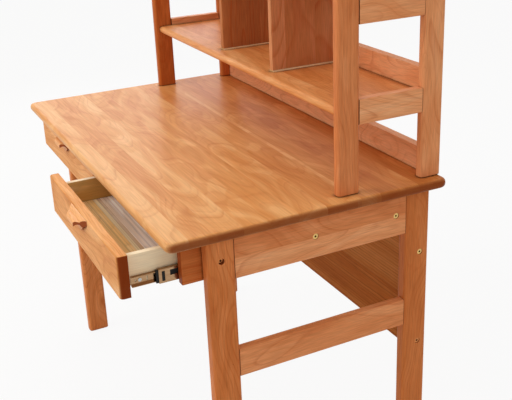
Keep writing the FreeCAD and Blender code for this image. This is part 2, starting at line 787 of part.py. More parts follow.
def add_hutch():
    front_near = "(hutch_depth - post_wide)"
    post_y = {"front": deep(front_near, "hutch_depth"), "back": deep("0", "post_wide")}
    post_rounds = ("post_round", along("z")), ("edge_ease", both_rims)
    rail_x_far = f"({post_outer} - post_set_back)"
    for side, word in sides.items():
        for end, y in post_y.items():
            label = f"post_{end}_{word}"
            board(label, beside(side, post_inner, post_outer), y, ("top_height", "hutch_high"), *post_rounds)
            foot_y = ahead("post_wide / 2" if end == "back" else "hutch_depth - post_wide / 2")
            dowel("z", (f"{side} * ({post_outer} - post_thick / 2)", foot_y, "top_height"), label, "desktop")
        for level, floor in rail_floors.items():
            label = f"hutch_rail_{level}_{word}"
            high = f"{level}_rail_high"
            rail_x = beside(side, post_inner, rail_x_far)
            board(label, rail_x, deep("post_wide", front_near), (floor, high), ("edge_ease", along("y")))
            for end, depth in (("front", front_near), ("back", "post_wide")):
                for way in ("-", "+"):
                    pin_z = f"{floor} + {high} * (1 / 2 {way} rail_pin_share)"
                    middle = (f"{rail_x[0]} + ({rail_x[1]}) / 2", ahead(depth), pin_z)
                    pin("y", middle, label, f"post_{end}_{word}")
    add_shelves()
    add_back_rails()
    add_dividers()


def add_shelves():
    for level, floor in shelf_floors.items():
        label = f"shelf_{level}"
        board(
            label, across(post_inner), deep("back_rail_inset", shelf_far), (floor, "shelf_thick"),
            ("shelf_thick * shelf_round_share", along("x", y="Min")))
        for side, word in sides.items():
            for way in ("-", "+"):
                depth = f"hutch_depth * (1 / 2 {way} shelf_pin_share)"
                middle = (f"{side} * {post_inner}", ahead(depth), f"{floor} + shelf_thick / 2")
                pin("x", middle, label, f"hutch_rail_{level}_{word}")


def add_back_rails():
    rails = {
        "hutch_base_rail": ("top_height", "base_rail_high"),
        "shelf_stop_lower": (shelf_tops["lower"], "lower_stop_high"),
        "shelf_stop_upper": (shelf_tops["upper"], "upper_stop_high"),
    }
    for label, (floor, high) in rails.items():
        rail_y = deep("back_rail_inset", back_rail_far)
        board(label, across(post_inner), rail_y, (floor, high), ("edge_ease", along("x", z="Max")))
        for side, word in sides.items():
            for way in ("-", "+"):
                level = f"{floor} + {high} * (1 / 2 {way} rail_pin_share)"
                depth = "back_rail_inset + back_rail_thick / 2"
                pin("x", (f"{side} * {post_inner}", ahead(depth), level), label, f"post_back_{word}")


def add_dividers():
    divider_y = deep(back_rail_far, "(hutch_depth - divider_set_back)")
    roof = shelf_floors["upper"]
    base = shelf_tops["lower"]
    for word in sides.values():
        start = f"divider_{word}_place - divider_thick / 2"
        floor = f"({base} + strip_high)"
        board(
            f"divider_{word}", (start, "divider_thick"), divider_y, (floor, f"{roof} - {floor}"),
            ("edge_ease", along("z", y="Min")))
        strip_x = f"{start} - strip_proud", "divider_thick + 2 * strip_proud"
        groups["divider_strips"].append(block("strip", strip_x, divider_y, (base, "strip_high")))


# Holes come out of the blanks, and like fasteners gather in one piece list
def finish_nodes():
    for label, tools in holes.items():
        blank = nodes[label]
        blank.Label = f"{label}_blank"
        keep(label, cut(f"{label}_cut", blank, tools))
    for label, pieces in groups.items():
        gathered = fresh("Part::Compound", f"{label}_group")
        gathered.Links = pieces
        keep(label, gathered)
    doc.recompute()


def check_document():
    for item in doc.Objects:
        faults = {"Invalid", "Error"} & set(item.State)
        if faults:
            raise RuntimeError(f"{item.Label}: {sorted(faults)}")
    for label, item in nodes.items():
        shape = item.Shape
        if shape.isNull() or not shape.isValid() or not shape.Solids:
            raise RuntimeError(f"{label} has no valid solid")


def write_nodes():
    os.makedirs("parts", exist_ok=True)
    for label, item in nodes.items():
        item.Shape.exportStep(f"parts/{label}.step")
    print(f"{len(nodes)} nodes, {sum(len(item.Shape.Solids) for item in nodes.values())} solids")


add_desktop()
for frame_side in sides:
    add_side_frame(frame_side)
add_modesty_panel()
add_case()
add_bolts()
add_drawer(1, "drawer_open")
add_drawer(-1, "0")
add_hutch()
finish_nodes()
check_document()
write_nodes()
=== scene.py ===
import math

import bpy
from mathutils import Matrix, Vector

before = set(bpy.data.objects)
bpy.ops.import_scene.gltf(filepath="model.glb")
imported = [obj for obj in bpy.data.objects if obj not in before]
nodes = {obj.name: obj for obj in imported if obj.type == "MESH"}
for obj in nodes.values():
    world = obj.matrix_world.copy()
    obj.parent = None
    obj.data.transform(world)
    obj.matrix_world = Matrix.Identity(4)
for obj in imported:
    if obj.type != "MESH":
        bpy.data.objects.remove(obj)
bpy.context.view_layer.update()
print("frame loaded:", len(nodes), "nodes")

mmPerMetre = 1000.0
endless = 1e5  # mm, longer than any board
mostRows = 32  # a ramp holds no more stops
evenTone = 0.5  # of a board whose staves are given no tones
white = (1, 1, 1, 1)
noiseSpan = (0.3, 0.7)  # levels between which most of a noise lies
fromNoise = {"From Min": noiseSpan[0], "From Max": noiseSpan[1]}

# a Mix node's sockets go by number, because their names repeat
numberA = 2
numberB = 3
colourA = 6
colourB = 7
colourMixed = 2


def hexColour(text):
    channels = [int(text[at:at + 2], 16) / 255 for at in (1, 3, 5)]
    linear = [c / 12.92 if c <= 0.04045 else ((c + 0.055) / 1.055) ** 2.4 for c in channels]
    return linear + [1.0]


# adds one node with its settings, its links or values by socket, and a ramp's stops
def addNode(tree, kind, links=None, stops=None, **settings):
    node = tree.nodes.new("ShaderNode" + kind)
    for key, value in settings.items():
        setattr(node, key, value)
    for key, value in (links or {}).items():
        if isinstance(value, bpy.types.NodeSocket):
            tree.links.new(value, node.inputs[key])
        else:
            node.inputs[key].default_value = value
    if stops:
        ramp = node.color_ramp
        while len(ramp.elements) < len(stops):
            ramp.elements.new(1.0)
        for element, (place, colour) in zip(ramp.elements, stops):
            element.position = place
            element.color = colour
    return node


def newTree(name):
    material = bpy.data.materials.new(name)
    material.use_nodes = True
    material.node_tree.nodes.clear()
    return material, material.node_tree


def closeTree(tree, shader):
    addNode(tree, "OutputMaterial", {"Surface": shader.outputs[0]})


# a point of the piece, in mm from the part's origin
def placeInMm(tree):
    place = addNode(tree, "TexCoord").outputs["Object"]
    return addNode(tree, "VectorMath", {0: place, "Scale": mmPerMetre}, operation="SCALE").outputs[0]


# Cherry, planed, sanded and oiled: pink-tan staves that differ in tone, arched year rings where a board
# is cut flat, a soft cloudy figure, fine streaks along the grain and darker end grain. Satin, not glossy.
cherry = {
    "tones": ["#ecab6f", "#df9455", "#d18041", "#bf6b30"],
    "toneShare": 0.5,        # how far boards differ
    "endColour": "#8f3d0f",
    "endShare": 0.95,
    "endLeast": 1.0,         # share of it on the palest stave end
    "endTurn": (0.3, 0.9),   # how far a face turns to the end before it shows end grain
    "ringColour": "#b0480a",
    "ringSpacing": 4.5,      # mm, year rings are drawn a little wider than they are, to show
    "ringShare": 0.26,
    "ringLeast": 0.25,       # share of it on the faintest ring
    "ringProfile": [(0.0, 0.0), (0.6, 0.12), (0.86, 1.0), (0.96, 0.0)],  # each year darkens to its end
    "logSpread": 3000.0,     # mm of wood from which the boards are cut
    "pithDepth": 45.0,       # mm from the board to the middle of the log
    "pithSpread": 70.0,
    "pithSide": 36.0,
    "logTilt": 0.1,
    "swell": 70.0,           # mm that the log bends in and out, which closes the arches
    "swellLong": 290.0,
    "swellWide": 105.0,
    "swellDetail": 1.0,
    "swellTwist": 0.0,
    "cloudLong": 240.0,      # mm, the cloudy figure
    "cloudWide": 52.0,
    "cloudShare": 0.26,
    "cloudDetail": 3.0,
    "cloudTwist": 0.6,
    "bandYears": 3.0,        # good and poor summers come in runs, which tint whole bands of rings
    "bandShare": 0.3,
    "bandDetail": 2.0,
    "sapLong": 210.0,        # mm, pale tongues of sapwood
    "sapWide": 46.0,
    "sapShare": 0.16,
    "sapDetail": 1.0,
    "sapTwist": 1.2,
    "sapEdge": (0.48, 0.64),  # noise levels at which a tongue starts and is full
    "streakLong": 34.0,      # mm, fine streaks, coarser than real pores so that they show
    "streakWide": 1.7,
    "streakShare": 0.26,
    "streakDetail": 4.0,
    "streakTwist": 0.0,
    "gumColour": "#4a2109",
    "gumLong": 420.0,        # mm between gum pockets, small dark flecks
    "gumWide": 150.0,
    "gumSize": 0.008,        # of those lengths
    "gumShare": 0.6,
    # the corner keys paint shade into the corners between boards
    "cornerReach": 0.005,    # metres over which a corner between boards darkens
    "cornerShade": 0.35,
    "cornerOpen": (0.2, 0.8),  # share of open sky at which the shade is full, and gone
    "cornerSamples": 4,
    "roughness": (0.36, 0.52),
    "ior": 1.48,
    "sheen": 0.24,           # an oiled face mirrors less than a lacquered one
    "bump": 0.04,
    "bumpDepth": 0.0006,     # metres
}

# Paulownia drawer boards: pale, dull and nearly bare, with faint wide rings
paleBoard = dict(
    cherry, tones=["#fff0cf", "#fae4bd", "#f2d7a9", "#e7c896"], toneShare=0.4, endColour="#b39366",
    ringColour="#b08d5c", ringShare=0.22, ringSpacing=9.0, cloudShare=0.35, gumShare=0.0,
    roughness=(0.55, 0.7), sheen=0.2)

# Drawer bottoms: thin staves of mixed pale wood, some grey, with long streaks and no tongues of sapwood
greyStaves = dict(
    paleBoard, tones=["#fff0c4", "#f0c47c", "#fff3e2", "#cfa872"], toneShare=0.12,
    ringColour="#8b6c45", ringShare=0.2, cloudShare=0.2, bandShare=0.0, sapShare=0.0,
    streakShare=0.55, streakLong=700.0, streakWide=2.4)

# Bare pale beech for the strips under the dividers and the pegs: dull, with faint rings and no painted shade
# in its corners
bareBeech = dict(
    cherry, tones=["#eccfa6", "#e5c497", "#dfba8a", "#d6ae7c"], endColour="#c39c68",
    ringColour="#b98a55", ringShare=0.15, gumShare=0.0, cornerShade=1.0, roughness=(0.55, 0.7), sheen=0.2)


# order names the axes along, across and through the board, rows are the edges of its staves in mm, and level
# is the place of its face through it. A step along or through it, counted from the origin, starts another
# board, so an endless step parts only the two sides of the origin.
def boardWood(name, wood, order, rows, level, seed, alongStep=None, throughStep=endless, **changes):
    look = dict(wood, **changes)
    material, tree = newTree(name)
    axes = addNode(tree, "SeparateXYZ", {0: placeInMm(tree)})
    along, wide, thick = (axes.outputs[letter.upper()] for letter in order)
    # which board: rows across it, and cells along it and through it
    low, high = (rows[0], rows[-1])
    staves = list(zip(rows, rows[1:]))
    rowTones = look.get("rowTones", [evenTone] * len(staves))
    stops = []
    for at, (near, far) in enumerate(staves):
        start = (near - low) / (high - low)
        middle = ((near + far) / 2 - low) / (high - low)
        stops.append((start, (at / mostRows, middle, rowTones[at], 1)))
    span = addNode(tree, "MapRange", {"Value": wide, "From Min": low, "From Max": high})
    ramp = addNode(tree, "ValToRGB", {"Fac": span.outputs[0]}, stops)
    ramp.color_ramp.interpolation = "CONSTANT"
    rowParts = addNode(tree, "SeparateColor", {0: ramp.outputs["Color"]})
    rowMiddle = addNode(tree, "MapRange", {"Value": rowParts.outputs[1], "To Min": low, "To Max": high})
    cell = addNode(tree, "CombineXYZ", {2: thick})
    if alongStep:
        tree.links.new(along, cell.inputs[0])
    steps = (alongStep or endless, endless, throughStep)
    inSteps = addNode(tree, "VectorMath", {0: cell.outputs[0], 1: steps}, operation="DIVIDE")
    cellPlace = addNode(tree, "VectorMath", {0: inSteps.outputs[0]}, operation="FLOOR")
    rowStep = addNode(
        tree, "Math", {0: rowParts.outputs[0], 1: mostRows, 2: seed}, operation="MULTIPLY_ADD")
    rowPlace = addNode(tree, "CombineXYZ", {1: rowStep.outputs[0]})
    board = addNode(tree, "VectorMath", {0: cellPlace.outputs[0], 1: rowPlace.outputs[0]}, operation="ADD")
    chance = addNode(tree, "TexWhiteNoise", {"Vector": board.outputs[0]}, noise_dimensions="3D")
    odds = addNode(tree, "SeparateColor", {0: chance.outputs["Color"]})
    # each board has its own piece of the log
    shift = addNode(
        tree, "VectorMath", {0: chance.outputs["Color"], "Scale": look["logSpread"]}, operation="SCALE")
    spot = addNode(tree, "CombineXYZ", {0: along, 1: wide, 2: thick})
    moved = addNode(tree, "VectorMath", {0: spot.outputs[0], 1: shift.outputs[0]}, operation="ADD")
    # noises drawn out along the grain
    noise = {}
    for part in ("cloud", "sap", "swell", "streak"):
        acrossScale = 1 / look[part + "Wide"]
        scale = (1 / look[part + "Long"], acrossScale, acrossScale)
        drawn = addNode(tree, "VectorMath", {0: moved.outputs[0], 1: scale}, operation="MULTIPLY")
        pattern = addNode(
            tree, "TexNoise",
            {"Vector": drawn.outputs[0], "Scale": 1.0, "Detail": look[part + "Detail"],
             "Distortion": look[part + "Twist"]})
        noise[part] = pattern.outputs[0]
    # distance from the middle of the log, which leans, so flat faces show arches
    sideOdds = addNode(
        tree, "MapRange", {"Value": odds.outputs[0], "To Min": -look["pithSide"], "To Max": look["pithSide"]})
    fromMiddle = addNode(tree, "Math", {0: wide, 1: rowMiddle.outputs[0]}, operation="SUBTRACT")
    across = addNode(tree, "Math", {0: fromMiddle.outputs[0], 1: sideOdds.outputs[0]}, operation="ADD")
    tilt = addNode(
        tree, "MapRange", {"Value": odds.outputs[1], "To Min": -look["logTilt"], "To Max": look["logTilt"]})
    nearest = look["pithDepth"] - level
    depth = addNode(
        tree, "MapRange",
        {"Value": odds.outputs[2], "To Min": nearest, "To Max": nearest + look["pithSpread"]})
    lean = addNode(
        tree, "Math", {0: along, 1: tilt.outputs[0], 2: depth.outputs[0]}, operation="MULTIPLY_ADD")
    outward = addNode(tree, "Math", {0: thick}, operation="ABSOLUTE")
    below = addNode(tree, "Math", {0: outward.outputs[0], 1: lean.outputs[0]}, operation="ADD")
    wander = addNode(
        tree, "Math", {0: noise["swell"], 1: look["swell"], 2: below.outputs[0]}, operation="MULTIPLY_ADD")
    fromPith = addNode(tree, "CombineXYZ", {0: across.outputs[0], 1: wander.outputs[0]})
    radius = addNode(tree, "VectorMath", {0: fromPith.outputs[0]}, operation="LENGTH")
    # year rings, some fainter than others
    years = addNode(tree, "Math", {0: radius.outputs["Value"], 1: look["ringSpacing"]}, operation="DIVIDE")
    phase = addNode(tree, "Math", {0: years.outputs[0]}, operation="FRACT")
    year = addNode(tree, "Math", {0: years.outputs[0]}, operation="FLOOR")
    yearOdds = addNode(tree, "TexWhiteNoise", {"W": year.outputs[0]}, noise_dimensions="1D")
    ring = addNode(
        tree, "ValToRGB", {"Fac": phase.outputs[0]},
        [(place, (dark, dark, dark, 1)) for place, dark in look["ringProfile"]])
    yearShare = addNode(
        tree, "MapRange", {"Value": yearOdds.outputs["Value"], "To Min": look["ringLeast"], "To Max": 1.0})
    ringLine = addNode(
        tree, "Math", {0: ring.outputs["Color"], 1: yearShare.outputs[0]}, operation="MULTIPLY")
    # colour: the board's own tone, clouded, banded and with pale tongues
    toneHalf = look["toneShare"] / 2
    toneOdds = addNode(
        tree, "MapRange", {"Value": chance.outputs["Value"], "To Min": -toneHalf, "To Max": toneHalf})
    toneStep = addNode(tree, "Math", {0: rowParts.outputs[2], 1: toneOdds.outputs[0]}, operation="ADD")
    cloudHalf = look["cloudShare"] / 2
    cloudStep = addNode(
        tree, "MapRange", {"Value": noise["cloud"], **fromNoise, "To Min": -cloudHalf, "To Max": cloudHalf})
    sapStart, sapFull = look["sapEdge"]
    sapStep = addNode(
        tree, "MapRange",
        {"Value": noise["sap"], "From Min": sapStart, "From Max": sapFull, "To Max": -look["sapShare"]},
        interpolation_type="SMOOTHSTEP")
    bandPlace = addNode(tree, "Math", {0: years.outputs[0], 1: look["bandYears"]}, operation="DIVIDE")
    band = addNode(
        tree, "TexNoise", {"W": bandPlace.outputs[0], "Scale": 1.0, "Detail": look["bandDetail"]},
        noise_dimensions="1D")
    bandHalf = look["bandShare"] / 2
    bandStep = addNode(
        tree, "MapRange", {"Value": band.outputs[0], **fromNoise, "To Min": -bandHalf, "To Max": bandHalf})
    cloudSap = addNode(tree, "Math", {0: cloudStep.outputs[0], 1: sapStep.outputs[0]}, operation="ADD")
    figure = addNode(tree, "Math", {0: cloudSap.outputs[0], 1: bandStep.outputs[0]}, operation="ADD")
    tone = addNode(
        tree, "Math", {0: toneStep.outputs[0], 1: figure.outputs[0]}, operation="ADD", use_clamp=True)
    last = len(look["tones"]) - 1
    colour = addNode(
        tree, "ValToRGB", {"Fac": tone.outputs[0]},
        [(at / last, hexColour(text)) for at, text in enumerate(look["tones"])])
    # ring lines and streaks over it
    ringAmount = addNode(
        tree, "Math", {0: ringLine.outputs[0], 1: look["ringShare"]}, operation="MULTIPLY")
    ringed = addNode(
        tree, "Mix",
        {"Factor": ringAmount.outputs[0], colourA: colour.outputs["Color"],
         colourB: hexColour(look["ringColour"])},
        data_type="RGBA")
    streakHalf = look["streakShare"] / 2
    streakStep = addNode(
        tree, "MapRange",
        {"Value": noise["streak"], **fromNoise, "To Min": 1 + streakHalf, "To Max": 1 - streakHalf})
    streaked = addNode(
        tree, "HueSaturation", {"Color": ringed.outputs[colourMixed], "Value": streakStep.outputs[0]})
    # a gum pocket here and there
    gumScale = (1 / look["gumLong"], 1 / look["gumWide"], 0.0)
    gumPlace = addNode(tree, "VectorMath", {0: moved.outputs[0], 1: gumScale}, operation="MULTIPLY")
    gum = addNode(
        tree, "TexVoronoi", {"Vector": gumPlace.outputs[0], "Scale": 1.0}, voronoi_dimensions="2D")
    gumOdds = addNode(tree, "SeparateColor", {0: gum.outputs["Color"]})
    gumReach = addNode(tree, "MapRange", {"Value": gumOdds.outputs[0], "To Max": look["gumSize"]})
    fleck = addNode(
        tree, "Math", {0: gum.outputs["Distance"], 1: gumReach.outputs[0]}, operation="LESS_THAN")
    fleckAmount = addNode(tree, "Math", {0: fleck.outputs[0], 1: look["gumShare"]}, operation="MULTIPLY")
    flecked = addNode(
        tree, "Mix",
        {"Factor": fleckAmount.outputs[0], colourA: streaked.outputs["Color"],
         colourB: hexColour(look["gumColour"])},
        data_type="RGBA")
    # end grain drinks more oil
    facing = addNode(tree, "NewGeometry").outputs["Normal"]
    axis = tuple(float(letter == order[0]) for letter in "xyz")
    endOn = addNode(tree, "VectorMath", {0: facing, 1: axis}, operation="DOT_PRODUCT")
    endSize = addNode(tree, "Math", {0: endOn.outputs["Value"]}, operation="ABSOLUTE")
    endStart, endFull = look["endTurn"]
    endShare = addNode(
        tree, "MapRange",
        {"Value": endSize.outputs[0], "From Min": endStart, "From Max": endFull, "To Max": look["endShare"]})
    boardEnd = addNode(
        tree, "MapRange", {"Value": odds.outputs[1], "To Min": look["endLeast"], "To Max": 1.0})
    endAmount = addNode(
        tree, "Math", {0: endShare.outputs[0], 1: boardEnd.outputs[0]}, operation="MULTIPLY")
    finished = addNode(
        tree, "Mix",
        {"Factor": endAmount.outputs[0], colourA: flecked.outputs[colourMixed],
         colourB: hexColour(look["endColour"])},
        data_type="RGBA")
    # painted shade: the corners where boards meet are darkened, as shade falls there
    corner = addNode(
        tree, "AmbientOcclusion", {"Distance": look["cornerReach"]}, samples=look["cornerSamples"])
    shutSky, openSky = look["cornerOpen"]
    shadeLevel = addNode(
        tree, "MapRange",
        {"Value": corner.outputs["AO"], "From Min": shutSky, "From Max": openSky,
         "To Min": look["cornerShade"], "To Max": 1.0})
    paintedCornerShade = addNode(
        tree, "HueSaturation", {"Color": finished.outputs[colourMixed], "Value": shadeLevel.outputs[0]})
    # streaks are rougher and stand proud, ring lines lie a little deeper
    smooth, coarse = look["roughness"]
    rough = addNode(
        tree, "MapRange", {"Value": noise["streak"], **fromNoise, "To Min": smooth, "To Max": coarse})
    height = addNode(tree, "Math", {0: noise["streak"], 1: ringLine.outputs[0]}, operation="SUBTRACT")
    bump = addNode(
        tree, "Bump",
        {"Height": height.outputs[0], "Strength": look["bump"], "Distance": look["bumpDepth"]})
    shader = addNode(
        tree, "BsdfPrincipled",
        {"Base Color": paintedCornerShade.outputs["Color"], "Roughness": rough.outputs[0], "Normal": bump.outputs[0],
         "IOR": look["ior"], "Specular IOR Level": look["sheen"]})
    closeTree(tree, shader)
    return material


# Zinc-plated steel, rolled and bright: plating that varies along fine roll lines, and clear mirroring. The
# bolts' warm plating is yellow zinc; the slides' warm brown is a painted reflection of the wood around them.
zinc = {
    "lineDetail": 3.0,
    "bump": 0.06,
    "bumpDepth": 0.0002,  # metres
}


# grain is the size of the roll lines in mm along X, Y and Z, drawn coarser than they are so that they show.
# The bolts ahead of one place or below another are painted a darker brown, a painted shade and reflection of
# the wood about them, and every socket gets painted shade inside.
def zincSteel(name, colours, roughness, grain, paintedShade=None):
    material, tree = newTree(name)
    inMm = placeInMm(tree)
    scale = [1 / size for size in grain]
    drawn = addNode(tree, "VectorMath", {0: inMm, 1: scale}, operation="MULTIPLY")
    lines = addNode(
        tree, "TexNoise", {"Vector": drawn.outputs[0], "Scale": 1.0, "Detail": zinc["lineDetail"]})
    low, high = noiseSpan
    last = len(colours) - 1
    spread = addNode(
        tree, "ValToRGB", {"Fac": lines.outputs[0]},
        [(low + (high - low) * at / last, hexColour(text)) for at, text in enumerate(colours)])
    plate = spread.outputs["Color"]
    if paintedShade:
        # painted shade and reflection on the bolts ahead of one place or below another
        axes = addNode(tree, "SeparateXYZ", {0: inMm})
        ahead = addNode(tree, "Math", {0: axes.outputs["Y"], 1: paintedShade["ahead"]}, operation="LESS_THAN")
        under = addNode(tree, "Math", {0: axes.outputs["Z"], 1: paintedShade["below"]}, operation="LESS_THAN")
        either = addNode(tree, "Math", {0: ahead.outputs[0], 1: under.outputs[0]}, operation="MAXIMUM")
        shadedPlate = addNode(
            tree, "Mix",
            {"Factor": either.outputs[0], colourA: plate, colourB: hexColour(paintedShade["colour"])},
            data_type="RGBA")
        # painted shade inside the sockets
        hollow = addNode(tree, "AmbientOcclusion", {"Distance": paintedShade["socketReach"]})
        shutSky, openSky = paintedShade["socketOpen"]
        socketUnshaded = addNode(
            tree, "MapRange", {"Value": hollow.outputs["AO"], "From Min": shutSky, "From Max": openSky})
        socketShaded = addNode(
            tree, "Mix",
            {"Factor": socketUnshaded.outputs[0], colourA: hexColour(paintedShade["socketColour"]),
             colourB: shadedPlate.outputs[colourMixed]},
            data_type="RGBA")
        plate = socketShaded.outputs[colourMixed]
    smooth, coarse = roughness
    rough = addNode(
        tree, "MapRange", {"Value": lines.outputs[0], **fromNoise, "To Min": smooth, "To Max": coarse})
    bump = addNode(
        tree, "Bump",
        {"Height": lines.outputs[0], "Strength": zinc["bump"], "Distance": zinc["bumpDepth"]})
    shader = addNode(
        tree, "BsdfPrincipled",
        {"Base Color": plate, "Metallic": 1.0, "Roughness": rough.outputs[0], "Normal": bump.outputs[0]})
    closeTree(tree, shader)
    return material


# Acetal, moulded black: dull, with a fine spark-eroded grain
acetal = {
    "colours": ["#0c0b0a", "#171513"],
    "grainSize": 0.8,        # mm, coarser than the real grain so that it shows
    "grainDetail": 2.0,
    "roughness": (0.38, 0.6),
    "ior": 1.48,
    "sheen": 0.25,
    "bump": 0.2,
    "bumpDepth": 0.0001,     # metres
}


def mouldedAcetal(name):
    material, tree = newTree(name)
    grain = addNode(
        tree, "TexNoise",
        {"Vector": placeInMm(tree), "Scale": 1 / acetal["grainSize"], "Detail": acetal["grainDetail"]})
    tint = addNode(
        tree, "ValToRGB", {"Fac": grain.outputs[0]},
        [(place, hexColour(text)) for place, text in zip(noiseSpan, acetal["colours"])])
    smooth, coarse = acetal["roughness"]
    rough = addNode(tree, "MapRange", {"Value": grain.outputs[0], "To Min": smooth, "To Max": coarse})
    bump = addNode(
        tree, "Bump",
        {"Height": grain.outputs[0], "Strength": acetal["bump"], "Distance": acetal["bumpDepth"]})
    shader = addNode(
        tree, "BsdfPrincipled",
        {"Base Color": tint.outputs["Color"], "Roughness": rough.outputs[0], "Normal": bump.outputs[0],
         "IOR": acetal["ior"], "Specular IOR Level": acetal["sheen"]})
    closeTree(tree, shader)
    return material


# stave joints in mm: those of the desktop, placed where the photograph shows them, and of the shelves count
# forward from the back edge, and those of the drawer bottoms are places along Y
backEdge = 348.5
topJoints = [600, 559, 505, 453, 399, 340, 280, 215, 204, 160, 71, 0]
# the two rear staves, under the shelf, are darker partly in their own tone and partly as painted shade from
# the shelf
topTones = [0.16, 0.46, 0.22, 0.44, 0.36, 0.5, 0.62, 0.25, 0.55, 0.8, 0.9]  # 0 is the palest stave
shelfJoints = [240, 182, 118, 60, 0]
bottomJoints = [-313, -288, -272, -260, -249, -240, -232, -222, -208]  # what the open drawer shows
bottomTones = [0.3, 0.33, 0.28, 0.32, 0.14, 0.9, 0.76, 0.7, 0.67]
evenStave = 19  # the staves behind those are all as wide
evenStart = -190
evenCount = 22
evenTones = [0.84, 0.95, 0.8, 0.9, 1.0, 0.86, 0.93]
bottomJoints += [evenStart + evenStave * at for at in range(evenCount)]
bottomTones += evenTones * (evenCount // len(evenTones))

# legs and case boards are a redder, duller cut, and the panel behind the knees the deepest
wideRings = {"ringSpacing": 7.0, "ringShare": 0.36, "swell": 150.0}
frameTone = {"tones": ["#e6965c", "#da864c", "#cd763c", "#b8632d"], "sheen": 0.1, **wideRings}
paleTone = {"tones": ["#f2b07e", "#e89c67", "#dc8953", "#cb743f"], "sheen": 0.12, **wideRings}
panelTone = {"tones": ["#e8a46a", "#d58b4c", "#bd6c2e", "#a04e12"], "ringColour": "#5e2a08", "sheen": 0.02}
dividerTone = {
    "tones": ["#e09d6e", "#d48f5f", "#c7814f", "#b66f40"], "sheen": 0.08, "ringSpacing": 8.0,
    "ringShare": 0.55, "swell": 30.0,
}
# painted shade and reflection for the bolts: a darker brown ahead of one place or below another, and painted
# shade in the sockets
boltPaintedShade = {
    "ahead": -100.0,         # mm along Y
    "below": 450.0,          # mm above the floor
    "colour": "#bd7846",
    "socketColour": "#1d140c",
    "socketReach": 0.003,    # metres
    "socketOpen": (0.4, 0.75),  # share of open sky at which a socket's painted shade is full, and gone
}
